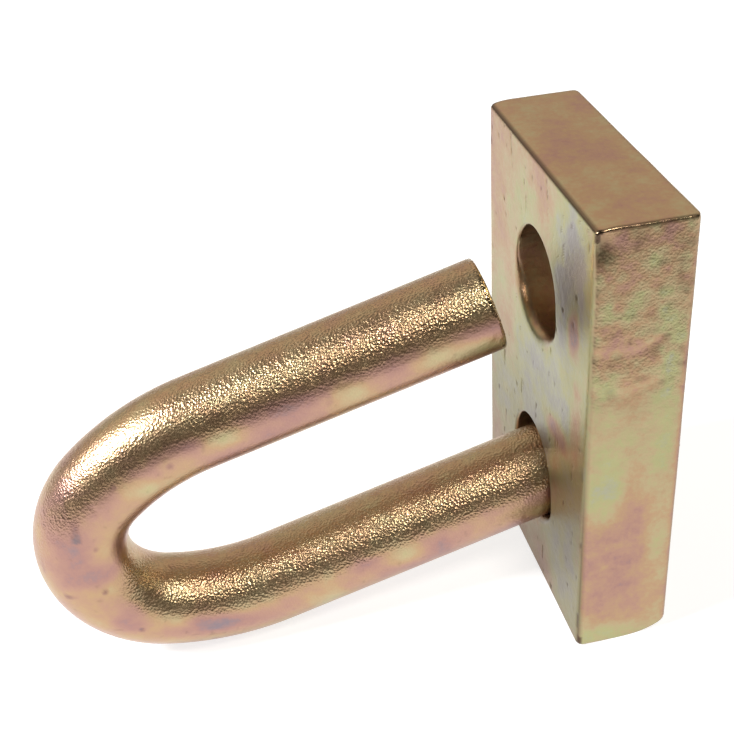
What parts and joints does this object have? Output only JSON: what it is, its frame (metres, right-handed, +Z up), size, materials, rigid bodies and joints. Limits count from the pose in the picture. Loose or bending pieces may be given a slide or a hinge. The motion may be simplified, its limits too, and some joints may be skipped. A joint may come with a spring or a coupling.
{
  "type": "pad eye",
  "caption": "Pad eye: a thick drilled plate with a loose U-shaped round bar that rocks in the lower hole and closes the eye when its short leg is lifted into the upper hole.",
  "frame": {"origin": "middle of the plate's flat back face, the one that lies on the wall or deck", "axes": "+X out of the back face into the wall, +Z up along the plate towards the upper hole, +Y across the plate; the U-bar stands out towards -X"},
  "size_m": [0.1044, 0.05, 0.0845],
  "materials": {
    "plate_yellow_zinc": "yellow-chromated zinc plating on a hot-rolled flat bar, iridescent from pink to green, satin",
    "bar_yellow_zinc": "yellow-chromated zinc plating on a round bar, dark gold with pink bands, fine sparkling grain"
  },
  "bodies": {
    "plate": {"base_plate": "plate_yellow_zinc"},
    "bar": {"u_bar": "bar_yellow_zinc"}
  },
  "joints": [
    {"name": "u_bar_tilt", "type": "hinge", "parent": "plate", "child": "bar", "pos_m": [-0.014, 0, -0.0312], "axis": [0, 1, 0], "range_deg": [0, 15.37]}
  ]
}
